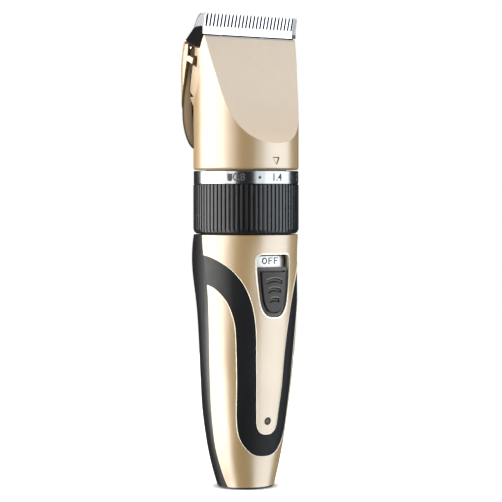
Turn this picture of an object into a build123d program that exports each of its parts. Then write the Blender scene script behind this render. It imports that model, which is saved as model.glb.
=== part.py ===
from build123d import *
import math
import os

os.makedirs("parts", exist_ok=True)

# ---------------------------------------------------------------- dimensions (mm)
# frame: origin at the centre of the foot, +Z up to the blade tips, front is -Y
WALL = 2.0                 # handle shell
SKIN = 1.0                 # depth of the black inlay
# handle stations: height, half width, front half depth, rear half depth
HANDLE = [(0.8, 10.9, 10.0, 10.6), (3.3, 11.55, 10.3, 11.7), (7.8, 12.75, 11.0, 13.1),
          (12.2, 13.75, 11.7, 14.2), (18.0, 14.8, 12.7, 15.2), (25.7, 15.95, 13.8, 16.1),
          (34.6, 17.15, 14.9, 15.8), (43.6, 18.2, 15.8, 14.6), (52.5, 18.95, 16.6, 13.8),
          (61.5, 19.4, 17.6, 14.4), (70.4, 19.6, 18.15, 16.8), (79.4, 19.5, 18.2, 20.7),
          (84.0, 19.45, 18.25, 21.7), (90.0, 19.45, 18.6, 21.2), (94.2, 19.45, 19.2, 19.6)]
Z_TOP_HANDLE = 94.2
# parting line between the two handle shells: (depth, height)
PARTING = [(-4.2, -3.0), (-3.3, 0.0), (-2.3, 3.3), (-1.75, 6.8), (-1.25, 10.5), (-0.75, 14.5), (-0.6, 22.3), (-1.1, 31.7), (-2.0, 41.0),
           (-2.65, 49.2), (-3.15, 59.5), (-3.2, 66.8), (-2.6, 75.2), (-0.7, 84.3),
           (0.3, 90.5), (0.6, 97.0)]
# edges of the tulip inlay seen from the front: (half width, height)
INLAY_IN = [(0.0, 20.7), (2.0, 21.0), (3.55, 22.2), (4.35, 24.0), (4.7, 27.0), (5.2, 33.2),
            (5.75, 41.0), (6.15, 48.5), (6.65, 56.0), (7.25, 61.5), (7.85, 65.0), (8.5, 68.1),
            (9.35, 71.0), (10.4, 73.9), (11.65, 76.6), (13.2, 79.3), (14.8, 81.6),
            (16.1, 83.1), (17.4, 84.5), (18.4, 85.6), (19.4, 86.8), (21.5, 89.0)]
INLAY_OUT = [(0.0, 12.3), (3.2, 12.6), (5.4, 13.5), (7.4, 15.3), (9.1, 17.7), (10.3, 20.5),
             (11.0, 23.7), (11.45, 27.6), (11.85, 33.3), (12.3, 41.0), (12.75, 48.5),
             (13.05, 52.7), (13.4, 57.3), (13.85, 61.2), (14.35, 63.9), (15.15, 67.0),
             (15.95, 69.5), (17.0, 71.9), (17.9, 73.6), (18.65, 74.9), (19.4, 75.9), (21.5, 78.0)]
# switch
SW_A, SW_B = 19.45, 18.2         # section of the handle at the switch
SW_TRAVEL = 4.2
WIN = [(0.0, 64.1), (2.6, 64.45), (4.6, 66.2), (5.7, 68.6), (6.2, 71.2), (6.75, 75.5),
       (7.15, 80.0), (7.3, 83.5)]
WIN_TOP = 87.1
SLIDER_TOP = 82.5
Z_LED, R_LED = 25.6, 1.45
# dial
Z_DIAL0, Z_DIAL1, R_DIAL = 94.6, 112.8, 19.65
RIBS, RIB_DEPTH = 72, 0.62
Z_BAND1, R_BAND = 117.8, 19.5
R_BORE_DIAL = 15.08
CAM_TAN, Z_CAM, NOSE = 0.05, 104.0, 2.0
# neck and drive
R_TUBE, R_TUBE_IN = 15.0, 12.45
R_MOTOR, Z_MOTOR0, Z_MOTOR1 = 12.2, 86.0, 116.8
ECC, R_PIN = 1.2, 1.0
Z_PIVOT, Z_TIP = 146.0, 160.0
# head
Z_HEAD, R_HEAD, R_HEAD_TOP = 118.2, 19.6, 20.85
SCOOP = [(-19.9, 127.6), (-17.4, 130.0), (-14.3, 134.3), (-11.15, 140.6), (-7.95, 150.0),
         (-5.2, 159.3), (-2.6, 168.2), (-1.8, 171.0)]
SPLIT = [(8.7, 118.0), (8.7, 126.0), (9.4, 136.0), (10.7, 147.0), (10.6, 154.0), (9.9, 162.0), (9.6, 172.0)]
Y_HINGE, Z_HINGE, R_HINGE, R_NIB = 8.9, 163.4, 0.9, 0.42
# blade set
TIP_Z, BLADE_HALF = 175.3, 21.0
COMB_Y, COMB_T, Z_COMB = -2.75, 1.25, 167.7
SLOTS, PITCH, SLOT_W, SLOT_X = 25, 1.61, 0.78, -0.6
LEAN = 1.25                # how far the teeth lean forward
STROKE = 1.12


# ---------------------------------------------------------------- helpers
def bx(x0, x1, y0, y1, z0, z1):
    return Pos((x0 + x1) / 2, (y0 + y1) / 2, (z0 + z1) / 2) * Box(x1 - x0, y1 - y0, z1 - z0)


def cz(r, z0, z1, x=0.0, y=0.0):
    return Pos(x, y, (z0 + z1) / 2) * Cylinder(r, z1 - z0)


def cx(r, x0, x1, y, z):
    return Pos((x0 + x1) / 2, y, z) * Rot(0, 90, 0) * Cylinder(r, x1 - x0)


def cy(r, y0, y1, x, z):
    return Pos(x, (y0 + y1) / 2, z) * Rot(90, 0, 0) * Cylinder(r, y1 - y0)


def poly_yz(pts, x0, x1):
    f = Plane.YZ.offset(x0) * make_face(Polyline(*pts, close=True))
    return extrude(f, x1 - x0)


def poly_xz(pts, y0, y1):
    f = Plane.XZ.offset(-y1) * make_face(Polyline(*pts, close=True))
    return extrude(f, y1 - y0)


def face_yz(edges, x0, x1):
    f = Plane.YZ.offset(x0) * make_face(edges)
    return extrude(f, x1 - x0)


def oval(z, a, bf, br):
    k = 0.5522847
    e = [
        Edge.make_bezier((a, 0, z), (a, br * k, z), (a * k, br, z), (0, br, z)),
        Edge.make_bezier((0, br, z), (-a * k, br, z), (-a, br * k, z), (-a, 0, z)),
        Edge.make_bezier((-a, 0, z), (-a, -bf * k, z), (-a * k, -bf, z), (0, -bf, z)),
        Edge.make_bezier((0, -bf, z), (a * k, -bf, z), (a, -bf * k, z), (a, 0, z)),
    ]
    return Face(Wire(e))


def handle(d):
    return Solid.make_loft([oval(z, a + d, bf + d, br + d).outer_wire() for z, a, bf, br in HANDLE])


def save(name, shape):
    s = shape.solids()
    if len(s) == 1:
        out = s[0]
    else:
        s = sorted(s, key=lambda q: -q.volume)
        keep = [q for q in s if q.volume > 1e-3]
        out = keep[0] if len(keep) == 1 else Compound(children=list(keep))
    out.label = name
    export_step(out, "parts/%s.step" % name)
    bb = out.bounding_box()
    print("%-18s n=%d vol=%9.2f  x %7.2f %7.2f  y %7.2f %7.2f  z %7.2f %7.2f" % (
        name, len(out.solids()), out.volume, bb.min.X, bb.max.X, bb.min.Y, bb.max.Y, bb.min.Z, bb.max.Z))
    return out


# ---------------------------------------------------------------- handle shells
outer = handle(0.0)
inner = handle(-WALL) - bx(-40, 40, -40, 40, -1, 3.2)
skin_cut = outer - handle(-SKIN)

split_curve = Spline(*PARTING)
front_block = face_yz([split_curve, Polyline(PARTING[-1], (-45, 97), (-45, -3), PARTING[0])], -45, 45)
rear_block = face_yz([split_curve, Polyline(PARTING[-1], (45, 97), (45, -3), PARTING[0])], -45, 45)

inl_in = [(-x, z) for x, z in reversed(INLAY_IN[1:])] + INLAY_IN
inl_out = [(-x, z) for x, z in reversed(INLAY_OUT[1:])] + INLAY_OUT
f_inlay = Plane.XZ * make_face([
    Spline(*inl_in), Line(inl_in[-1], inl_out[-1]), Spline(*inl_out), Line(inl_out[0], inl_in[0])])
u_prism = extrude(f_inlay, 40)

win_pts = [(-x, z) for x, z in reversed(WIN[1:])] + WIN


def window(grow, top):
    # D-shaped opening: curved foot, straight top with rounded shoulders
    sc = [(x * (1 + grow / 7.0), 75.6 + (z - 75.6) * (1 + grow / 11.5)) for x, z in win_pts]
    hw = sc[-1][0]
    r = 2.2 + grow * 0.6
    c = r * 0.70711
    zt = WIN_TOP + grow
    e = [Spline(*sc), Line(sc[-1], (hw, zt - r)),
         ThreePointArc((hw, zt - r), (hw - r + c, zt - r + c), (hw - r, zt)), Line((hw - r, zt), (-hw + r, zt)),
         ThreePointArc((-hw + r, zt), (-hw + r - c, zt - r + c), (-hw, zt - r)), Line((-hw, zt - r), sc[0])]
    return extrude(Plane.XZ * make_face(e), 40) & bx(-30, 30, -45, 0, 50, top)


win_prism = window(0.0, 100.0)

front = (outer - inner) & front_block
front = front - (u_prism & skin_cut)
bezel_cut = (window(0.55, 100.0) & (handle(0.3) - handle(-0.9)))
front = front - win_prism - bezel_cut - cy(R_LED + 0.02, -40, -5, 0, Z_LED)
bezel = (window(0.53, 100.0) - win_prism) & (handle(0.12) - handle(-0.9))
inlay = (u_prism & skin_cut) & front_block
rear = (outer - inner) & rear_block

# foot plate with the charging opening
Y_JACK = 3.6
foot = Solid.make_loft([oval(0.0, 10.0, 9.2, 10.1).outer_wire(), oval(0.8, 10.25, 9.45, 10.35).outer_wire()])
foot = foot + (Solid.make_loft([oval(0.8, 8.2, 7.4, 8.3).outer_wire(), oval(3.2, 8.2, 7.4, 8.3).outer_wire()]))
foot_hole = Solid.make_loft([oval(0.7, 8.22, 7.42, 8.32).outer_wire(), oval(3.3, 8.22, 7.42, 8.32).outer_wire()])
front = front - foot_hole
rear = rear - foot_hole
foot = foot - cz(3.3, -1, 4, 0, Y_JACK) - cz(1.6, -1, 1.2, 0, -4.6) - cz(0.82, -1, 4, 0, -4.6)
foot_screw = cz(1.5, 0.3, 1.2, 0, -4.6) + cz(0.8, 1.2, 6.5, 0, -4.6) - bx(-1.0, 1.0, -4.8, -4.4, -1, 0.7)
boss = cz(2.4, 3.2, 8.5, 0, -4.6) - cz(0.8, 3.0, 6.6, 0, -4.6)
boss = boss + bx(-1.0, 1.0, -10.0, -6.6, 3.2, 8.5)
front = front + (boss & handle(-WALL + 0.2))

jack = cz(3.28, 1.0, 3.2, 0, Y_JACK) + cz(4.4, 3.3, 12.5, 0, Y_JACK) + cz(3.28, 3.2, 3.3, 0, Y_JACK)
jack = jack - cz(2.75, 0, 10.5, 0, Y_JACK)
jack_pin = cz(1.0, 2.0, 12.5, 0, Y_JACK)
jack = jack - cz(1.0, 10.0, 12.6, 0, Y_JACK)

# ---------------------------------------------------------------- switch
def shell_at(d0, d1, z0, z1):
    # piece of an elliptic sleeve between two depths below the handle surface
    o = extrude(Pos(0, 0, z0) * Ellipse(SW_A - d0, SW_B - d0), z1 - z0)
    i = extrude(Pos(0, 0, z0) * Ellipse(SW_A - d1, SW_B - d1), z1 - z0)
    return (o - i) & bx(-30, 30, -30, 0, z0, z1)


plate = (shell_at(2.25, 3.25, 62.6, 88.6) & window(1.4, 100.0)) & handle(-WALL - 0.05)
plate = plate - bx(-1.3, 1.3, -20, -10, 73.6, 82.0)
sl_out = window(-0.3, 100.0) & (Pos(0, 0, SLIDER_TOP - WIN_TOP + 0.3) * window(-0.3, 100.0))
slider = shell_at(0.55, 2.1, 62.0, 84.0) & sl_out
pocket = window(-1.5, SLIDER_TOP - 1.35)
slider = slider - (shell_at(-1, 1.35, 62.0, 84.0) & pocket)
pad = window(-2.0, SLIDER_TOP - 1.85) & shell_at(0.05, 2.0, 62.0, 84.0)
slider = slider + pad
for zg, rg, wg in ((77.8, 7.5, 3.7), (74.4, 6.0, 2.9), (70.7, 4.8, 2.2)):
    ring = Pos(0, -18.25, zg - rg) * Rot(90, 0, 0) * Torus(rg, 0.72)
    slider = slider - (ring & bx(-wg, wg, -25, -10, zg - 2.0, zg + 1.2))
slider = slider + bx(-1.1, 1.1, -16.4, -14.75, 74.55, 77.25) - bx(-0.72, 0.72, -16.0, -14.0, 75.1, 76.7)
nub = bx(-0.7, 0.7, -16.0, -13.4, 75.12, 76.68)
sw_body = bx(-3.2, 3.2, -14.6, -10.9, 70.5, 82.6) - bx(-0.95, 0.95, -15, -12.9, 74.5, 81.5)

# indicator and board
lens = cy(R_LED, -14.6, -11.4, 0, Z_LED) & handle(-0.12)
pcb = bx(-3.2, 3.2, -10.9, -9.9, 23.0, 34.0) + bx(-6.0, 6.0, -10.9, -9.9, 34.0, 82.6)
chips = (bx(-2.6, 2.6, -12.1, -10.9, 44.0, 49.5) + bx(-4.8, -2.2, -12.4, -10.9, 54.0, 59.0)
         + cy(1.9, -12.6, -10.9, 3.0, 56.5) + bx(2.0, 4.6, -11.7, -10.9, 62.0, 64.0)
         + bx(-1.0, 1.0, -11.5, -10.9, 36.0, 38.2))

# cell with end straps
R_CELL, Y_CELL = 9.15, 0.4
cell = cz(R_CELL, 15.0, 78.6, 0, Y_CELL) + cz(3.0, 78.6, 79.4, 0, Y_CELL)
strap_lo = bx(-2.2, 2.2, -9.9, 4.0, 14.4, 15.0) - cz(1, 14, 15.2, 0, 30)
strap_lo = strap_lo + bx(-2.2, 2.2, -9.9, -9.3, 14.4, 26.0)
strap_hi = bx(-2.2, 2.2, -9.9, 3.0, 79.4, 80.0) + bx(-2.2, 2.2, -9.9, -9.3, 72.0, 80.0)

# ---------------------------------------------------------------- neck, motor
tube = cz(R_TUBE, 89.0, 119.2)
flange = (handle(-WALL) & bx(-40, 40, -40, 40, 89.0, 93.6))
tube = tube + flange - cz(R_TUBE_IN, 80.0, 116.9) - cz(4.3, 110, 125)
slot = bx(-2.8, 2.8, 12.0, 19.0, 99.0, 125.0) & cz(R_TUBE + 1, 99.0, 125.0)
tube = tube - slot
for sx in (-1, 1):
    tube = tube - cz(0.98, 116, 120, sx * 8.0, 0) - cz(0.85, 112.0, 120, 0 + sx * 11.2, -8.2)
can = cz(R_MOTOR, Z_MOTOR0, Z_MOTOR1) + cz(3.4, Z_MOTOR1, Z_MOTOR1 + 1.6)
can = can - cz(1.07, 80, 130) - cz(R_MOTOR - 1.2, Z_MOTOR0 - 1, Z_MOTOR1 - 2.0)
magnets = (cz(R_MOTOR - 1.2, 93.0, 112.5) - cz(9.1, 92, 113.5)) - bx(-20, 20, -2.0, 2.0, 90, 115)
armature = cz(8.7, 94.0, 112.0) - cz(1.0, 90, 115)
for k in range(5):
    armature = armature - (Rot(0, 0, 72 * k) * bx(7.2, 10.0, -0.8, 0.8, 93, 113))
commutator = cz(2.6, 90.6, 93.4) - cz(1.0, 90, 94)
for sx in (-1, 1):
    can = can - cz(0.98, 113, 118, sx * 8.0, 0)
cap = cz(R_MOTOR - 1.2, Z_MOTOR0 - 2.4, Z_MOTOR0 + 4.0) - cz(1.07, 80, 130)
cap = cap - bx(-6.2, -5.6, -2, 2, 83.0, 87.0) - bx(5.6, 6.2, -2, 2, 83.0, 87.0)
tabs = bx(-6.2, -5.6, -2, 2, 81.2, 87.0) + bx(5.6, 6.2, -2, 2, 81.2, 87.0)
mot_screws = None
for sx in (-1, 1):
    q = cz(0.95, 113.2, 119.2, sx * 8.0, 0) + cz(1.8, 119.2, 120.4, sx * 8.0, 0)
    q = q - bx(sx * 8 - 2, sx * 8 + 2, -0.25, 0.25, 119.9, 121)
    mot_screws = q if mot_screws is None else mot_screws + q
shaft = cz(1.0, 84.4, 126.0)
ecc = cz(4.1, 122.4, 126.4) - cz(1.0, 122, 126.0) + cz(R_PIN, 126.4, 133.0, ECC, 0)

# ---------------------------------------------------------------- dial
step = 2 * math.pi / RIBS
prof = []
for i in range(RIBS):
    a0 = i * step
    for f, r in ((-0.30, R_DIAL - 0.06), (0.0, R_DIAL), (0.30, R_DIAL - 0.06), (0.42, R_DIAL - RIB_DEPTH), (0.58, R_DIAL - RIB_DEPTH)):
        prof.append((r * math.cos(a0 + f * step), r * math.sin(a0 + f * step)))
knurl = extrude(Pos(0, 0, Z_DIAL0) * make_face(Polyline(*prof, close=True)), Z_DIAL1 - Z_DIAL0)
lim = revolve(Plane.XZ * make_face(Polyline((0, Z_DIAL0), (R_DIAL - 1.1, Z_DIAL0), (R_DIAL - 0.35, Z_DIAL0 + 0.7), (R_DIAL + 0.2, Z_DIAL0 + 2.2),
                                           (R_DIAL + 0.2, Z_DIAL1 - 0.35), (R_DIAL - 0.3, Z_DIAL1), (0, Z_DIAL1), close=True)), Axis.Z)
dial = (knurl & lim) + cz(18.2, Z_DIAL1 - 0.5, Z_BAND1)
dial = dial - cz(R_BORE_DIAL, 90, 120)
alpha = math.degrees(math.atan(CAM_TAN))
cam_slot = Pos(0, 0, Z_CAM) * Rot(0, -alpha, 0) * Cylinder(16.75, NOSE + 0.34)
dial = dial - (cam_slot & bx(-30, 30, 0, 30, 98, 110))
for k in (-2, -1, 0, 1, 2):
    ang = math.radians(-90 + 21.5 * k)
    dial = dial - cz(0.75, 108.6, 112.4, (R_BORE_DIAL + 0.15) * math.cos(ang), (R_BORE_DIAL + 0.15) * math.sin(ang))
band = cz(R_BAND, Z_DIAL1, Z_BAND1) - cz(18.2, 110, 120)
band = chamfer(band.edges().filter_by(GeomType.CIRCLE).filter_by(lambda e: abs(e.radius - R_BAND) < 0.01), 0.25)
# detent leaf set in a window of the tube, its nose just clear of the notches
tube = tube - (bx(-1.6, 1.6, -19, -12.0, 104.5, 114.5) & cz(R_TUBE + 1, 100, 115.5))
leaf = bx(-1.5, 1.5, -13.5, -12.9, 104.6, 114.4) + (cz(0.55, 109.0, 112.0, 0, -14.35) + bx(-0.55, 0.55, -14.35, -13.4, 109.0, 112.0))
leaf = leaf & cz(14.95, 100, 120)

# lift slide that follows the cam groove
lift = (bx(-2.5, 2.5, 12.6, 16.0, 100.0, 150.2) & (cz(14.7, 90, 152) - cz(12.95, 90, 152)))
lift = lift + (bx(-1.4, 1.4, 13.2, 17.5, Z_CAM - NOSE / 2, Z_CAM + NOSE / 2) & cz(16.5, 100, 108))
lift = lift + bx(-9.6, 9.6, 12.2, 14.6, 149.0, 151.6)
for sx in (-1, 1):
    lift = lift + bx(sx * 8 - 1.4, sx * 8 + 1.4, 7.6, 14.6, 150.2, 152.4)

# ---------------------------------------------------------------- head: inner frame, rocker
frame = cz(17.1, 119.2, 121.8) - cz(6.2, 118, 123) - bx(-3.0, 3.0, 12.3, 20, 118, 123)
for sx in (-1, 1):
    frame = frame - cz(2.1, 118, 123, sx * 8.0, 0) - cz(0.98, 118, 123, sx * 11.2, -8.2)
    leg = bx(14.2, 15.8, -4.6, 5.5, 119.2, 149.0)
    arm = poly_yz([(1.2, 146.0), (10.5, 146.0), (10.5, 155.0), (10.2, 158.4), (9.2, 158.4), (9.2, 160.4), (10.6, 161.4), (10.9, 163.4), (8.9, 165.4),
                   (7.4, 165.4), (1.2, 162.0)], 16.6, 18.2)
    # web behind the groove: it closes the view through the head
    arm = arm + poly_yz([(7.6, 146.0), (10.2, 146.0), (10.2, 158.4), (7.6, 158.4)], 15.0, 16.7) + poly_yz([(7.6, 145.8), (12.6, 145.8), (12.6, 160.2), (7.6, 160.2)], 15.0, 15.9)
    knee = poly_yz([(1.2, 146.0), (5.5, 146.0), (5.5, 149.0), (1.2, 149.0)], 14.2, 18.2)
    side = leg + arm + knee
    side = side - bx(16.5, 18.3, 8.9, 12, 163.4, 166) + (cx(2.0, 16.6, 18.2, Y_HINGE, Z_HINGE))
    side = side - cx(R_HINGE, 16, 17.8, Y_HINGE, Z_HINGE) - cx(R_NIB, 17, 19, Y_HINGE, Z_HINGE)
    frame = frame + (side if sx > 0 else mirror(side, Plane.YZ))
frame = frame + bx(-15.0, 15.0, 4.4, 5.6, 143.6, 148.6) + bx(-4.2, 4.2, 4.4, 7.4, 142.6, 149.2)
frame = frame - cy(1.5, 3, 9, 0, Z_PIVOT)
frame_screws = None
for sx in (-1, 1):
    q = cz(0.85, 113.0, 121.8, sx * 11.2, -8.2) + cz(1.7, 121.8, 122.9, sx * 11.2, -8.2)
    q = q - bx(sx * 11.2 - 2, sx * 11.2 + 2, -8.45, -7.95, 122.4, 123.5)
    frame_screws = q if frame_screws is None else frame_screws + q
pivot = cy(1.5, -0.3, 7.4, 0, Z_PIVOT) + cy(2.5, -1.1, -0.3, 0, Z_PIVOT)
rocker = cy(3.2, 0.0, 4.0, 0, Z_PIVOT) + bx(-1.9, 1.9, 0.4, 3.4, 146.0, 157.0) + bx(-0.8, 0.8, 0.4, 3.0, 156.0, 159.8) + cy(1.2, 0.4, 3.0, 0, 159.8)
rocker = rocker + bx(-5.4, 5.4, -1.6, 2.6, 135.6, 139.0) + bx(-1.9, 1.9, 0.4, 3.4, 138.0, 146.0)
for sx in (-1, 1):
    rocker = rocker + bx(min(sx * 3.72, sx * 5.4), max(sx * 3.72, sx * 5.4), -1.6, 1.6, 128.4, 136.0)
rocker = rocker - cy(1.56, -2, 5, 0, Z_PIVOT)
hinge_pin = cx(R_HINGE, -17.8, 17.8, Y_HINGE, Z_HINGE) + cx(R_NIB, -18.8, 18.8, Y_HINGE, Z_HINGE)

# ---------------------------------------------------------------- head shells
def revolved(pts):
    return revolve(Plane.XZ * make_face(Polyline(*pts, close=True)), Axis.Z)


def head_solid(d):
    return revolve(Plane.XZ * make_face([
        Polyline((0, 172), (0, Z_HEAD), (R_HEAD - 0.5 - d, Z_HEAD), (R_HEAD - d, Z_HEAD + 0.6), (R_HEAD - d, 140.0)),
        Spline((R_HEAD - d, 140.0), (R_HEAD + 0.2 - d, 152.0), (R_HEAD_TOP - d, 168.4), (R_HEAD_TOP + 0.15 - d, 172.0),
               tangents=((0, 1), (0.08, 1))),
        Line((R_HEAD_TOP + 0.15 - d, 172.0), (0, 172))]), Axis.Z)


scoop_curve = Spline(*SCOOP)
behind_scoop = face_yz([scoop_curve, Polyline(SCOOP[-1], (40, 171.0), (40, 110), (-40, 110), (-40, 127.6), SCOOP[0])], -45, 45)
scoop_in = [(y + 1.9, z - 0.2) for y, z in SCOOP]
behind_scoop_in = face_yz([Spline(*scoop_in), Polyline(scoop_in[-1], (40, scoop_in[-1][1]), (40, 100), (-40, 100), (-40, scoop_in[0][1]), scoop_in[0])], -45, 45)
split_line = Spline(*SPLIT)
ahead_split = face_yz([split_line, Polyline(SPLIT[-1], (-45, 172), (-45, 118), SPLIT[0])], -45, 45)
split_g = [(y + 0.3, z) for y, z in SPLIT]
behind_split = face_yz([Spline(*split_g), Polyline(split_g[-1], (45, 172), (45, 118), split_g[0])], -45, 45)

# flat-sided ears behind the scoop, gently curved in plan and run out into the collar below
EAR = [(15.9, 138.0), (17.6, 141.6), (18.85, 145.2), (19.4, 149.0), (19.72, 154.0), (20.05, 160.0), (20.42, 168.0)]
EAR_R, EAR_X, EAR_Y = 70.0, -50.03, -1.88
ear_pts = [(x + EAR_R - 19.8, z) for x, z in EAR]
ear = revolve(Plane.XZ * make_face([Spline(*ear_pts), Polyline(ear_pts[-1], (59.5, 168.0), (59.5, 138.0), ear_pts[0])]), Axis.Z)
ear = (Pos(EAR_X, EAR_Y, 0) * ear) & bx(9.6, 30.0, 0.0, 13.0, 130.0, 172.0)
ears = ear + mirror(ear, Plane.YZ)
ears_in = bx(-18.4, 18.4, -1.0, 14.0, 145.2, 172.0)
head_full = (head_solid(0.0) + ears)
cavity = (head_solid(2.1) + ears_in) & behind_scoop_in
head = (head_full & behind_scoop) - cavity
head = head & (ahead_split + bx(-45, 45, -45, 45, 110, 126.0))
# slanted top edge: lip in front, V at the side below the blade base
head = head - poly_yz([(-2.35, 167.2), (0.25, 162.7), (3.2, 163.05), (5.3, 163.9), (14.0, 166.9), (14.0, 180.0), (-12.0, 180.0), (-12.0, 167.2)], -45, 45)
# guide groove at both sides and the catch window
groove = poly_yz([(3.7, 166.5), (3.9, 163.3), (4.5, 160.6), (6.7, 155.9), (8.4, 151.4), (9.7, 147.6), (20.0, 147.6), (20.0, 166.5)], -45, 45)
head = head - groove
head = head - poly_yz([(2.5, 159.8), (3.5, 155.8), (7.0, 157.0), (14.0, 158.4), (14.0, 162.4), (6.2, 160.7)], -45, 45)
# bore for the frame plate
head = head - cz(17.15, 117.0, 122.2)

# rear cover
def cover_section(z, w, b, r):
    y0 = 3.0
    c = 0.70710678
    pts = [(-w, y0), (-w, b - r), (-w + r - r * c, b - r + r * c), (-w + r, b), (w - r, b), (w - r + r * c, b - r + r * c), (w, b - r), (w, y0)]
    P = [Vector(x, y, z) for x, y in pts]
    return Wire([Edge.make_line(P[0], P[1]), Edge.make_three_point_arc(P[1], P[2], P[3]), Edge.make_line(P[3], P[4]),
                 Edge.make_three_point_arc(P[4], P[5], P[6]), Edge.make_line(P[6], P[7]), Edge.make_line(P[7], P[0])])


COVER = [(125.4, 12.4, 16.6, 5.0), (127.6, 15.3, 18.6, 5.0), (131.0, 16.5, 19.5, 5.0), (137.0, 17.4, 20.2, 5.0), (144.0, 17.7, 20.2, 5.0),
         (151.0, 18.4, 19.35, 5.0), (158.0, 18.9, 18.45, 5.0), (164.8, 19.4, 16.2, 5.0), (165.9, 19.45, 15.6, 5.0)]
# front edge of the rear cover; the cheeks in front of it lie deeper
COVER_EDGE = [(9.4, 166.6), (9.9, 164.4), (11.2, 159.5), (13.9, 151.5), (16.8, 145.0), (19.6, 140.6), (24.0, 136.0)]
CHEEK_IN = [0.1, 0.1, 0.1, 0.1, 0.35, 0.8, 0.9, 0.9, 0.9]
cov_out = Solid.make_loft([cover_section(*c) for c in COVER])
cov_in = Solid.make_loft([cover_section(z, w - 1.7, b - 1.7, 3.6) for z, w, b, r in COVER])
cov_in = cov_in & bx(-45, 45, -45, 45, 128.0, 163.2)
behind_edge = poly_yz(COVER_EDGE + [(45, 136.0), (45, 166.6)], -45, 45)
cheek_out = Solid.make_loft([cover_section(z, w - i, b - i, r) for (z, w, b, r), i in zip(COVER, CHEEK_IN)])
cheeks = ((cheek_out & behind_split) - cov_in) - behind_edge
cheeks = cheeks - cz(40, 110, 126.25) - cz(16.4, 110, 134.0)
cheeks = cheeks - cx(2.95, -18.45, 18.45, Y_HINGE, Z_HINGE) - bx(-18.6, 18.6, 0, 11.6, 160, 170)
cover = (cov_out & behind_edge) - cov_in
# lower in front, where the blade base comes down when it folds
cover = cover - bx(-45, 45, -45, 11.7, 164.8, 170)
cover = cover - cz(40, 110, 126.25) - cz(16.4, 110, 134.0)
cover = cover - cx(2.95, -18.45, 18.45, Y_HINGE, Z_HINGE) - bx(-18.45, 18.45, 0, 11.6, 160, 170)
for sx in (-1, 1):
    tab = poly_yz([(8.4, 160.4), (5.8, 159.2), (6.6, 157.3), (9.5, 158.5), (9.9, 158.7), (9.9, 160.3)], 18.3, 19.8)
    tab = tab + bx(16.55, 18.4, 9.3, 9.9, 158.8, 160.2) + bx(16.55, 17.1, 9.3, 13.4, 158.8, 160.2) + bx(16.55, 17.9, 12.0, 13.4, 158.8, 160.2)
    cover = cover + (tab if sx > 0 else mirror(tab, Plane.YZ))

# ---------------------------------------------------------------- blade set
base = poly_yz([(-2.0, 170.6), (-2.0, 167.75), (0.5, 163.25), (3.2, 163.6), (5.5, 164.5), (8.9, 165.6), (9.7, 166.25), (4.0, 170.6)], 18.75, 20.5)
base_side = base + mirror(base, Plane.YZ)
shelf = poly_yz([(-0.2, 168.6), (-0.2, 165.9), (8.6, 165.9), (9.1, 166.3), (7.9, 167.3), (6.6, 168.6)], -18.8, 18.8)
back = poly_yz([(5.4, 168.5), (6.6, 168.6), (6.1, 169.4), (5.4, 169.9)], -18.8, 18.8)
base = base_side + shelf + back
for sx in (-1, 1):
    blk = bx(12.8, 16.2, -0.7, 8.0, 160.6, 166.0)
    kn = cx(2.4, 12.8, 16.2, Y_HINGE, Z_HINGE) + poly_yz([(7.0, 161.2), (8.9, 161.0), (8.9, 165.8), (7.0, 166.0)], 12.8, 16.2)
    blk = blk + kn
    base = base + (blk if sx > 0 else mirror(blk, Plane.YZ))
base = base + bx(-16.2, 16.2, 6.0, 7.4, 161.0, 166.2)
base = base - bx(-12.5, 12.5, -0.4, 5.3, 158, 172.5)
base = base - cx(R_HINGE + 0.05, -17, 17, Y_HINGE, Z_HINGE)
for sx in (-1, 1):
    base = base - cz(0.8, 163.0, 170, sx * 15.5, 2.2)

comb = poly_yz([(COMB_Y, Z_COMB), (COMB_Y, 170.2), (COMB_Y - LEAN, 174.6), (COMB_Y - LEAN + 0.05, TIP_Z), (COMB_Y - LEAN + 0.5, TIP_Z), (COMB_Y + COMB_T, 173.5), (COMB_Y + COMB_T, 169.9),
                (5.3, 169.9), (5.3, 168.7), (COMB_Y + COMB_T, 168.7), (COMB_Y + COMB_T, Z_COMB)], -20.0, 20.0)
comb = comb - bx(-12.6, 12.6, -0.5, 6.0, 168, 172) - bx(-25, -18.65, -2.05, 8, 167, 170.68) - bx(18.65, 25, -2.05, 8, 167, 170.68)
comb = comb - bx(-25, -18.65, COMB_Y + COMB_T, 8, 170, 171) - bx(18.65, 25, COMB_Y + COMB_T, 8, 170, 171)
guard = poly_yz([(COMB_Y, Z_COMB), (COMB_Y - 0.05, 170.2), (COMB_Y - 0.85, 174.6), (COMB_Y - 0.6, TIP_Z), (-0.9, TIP_Z), (0.4, 174.7), (1.5, 173.6), (2.5, 172.2), (3.4, 170.7),
                 (-2.05, 170.7), (-2.05, Z_COMB)], 19.9, BLADE_HALF)
comb = comb + guard + mirror(guard, Plane.YZ)
x0 = -PITCH * (SLOTS - 1) / 2 + SLOT_X
for i in range(SLOTS):
    xc = x0 + i * PITCH
    hw = SLOT_W / 2
    cut = extrude(Plane.YZ.offset(xc - hw) * make_face(Polyline((-5.0, 169.9), (COMB_Y, 170.5), (COMB_Y + COMB_T + 0.2, 171.75), (COMB_Y + COMB_T + 0.2, 177), (-5.0, 177), close=True)), 2 * hw)
    comb = comb - cut
for sx in (-1, 1):
    comb = comb - cz(0.84, 168, 171, sx * 15.5, 2.2)
comb_screws = None
for sx in (-1, 1):
    q = cz(0.8, 163.4, 169.9, sx * 15.5, 2.2) + cz(1.7, 169.9, 170.8, sx * 15.5, 2.2)
    q = q - bx(sx * 15.5 - 2, sx * 15.5 + 2, 1.95, 2.45, 170.4, 171)
    comb_screws = q if comb_screws is None else comb_screws + q

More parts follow.
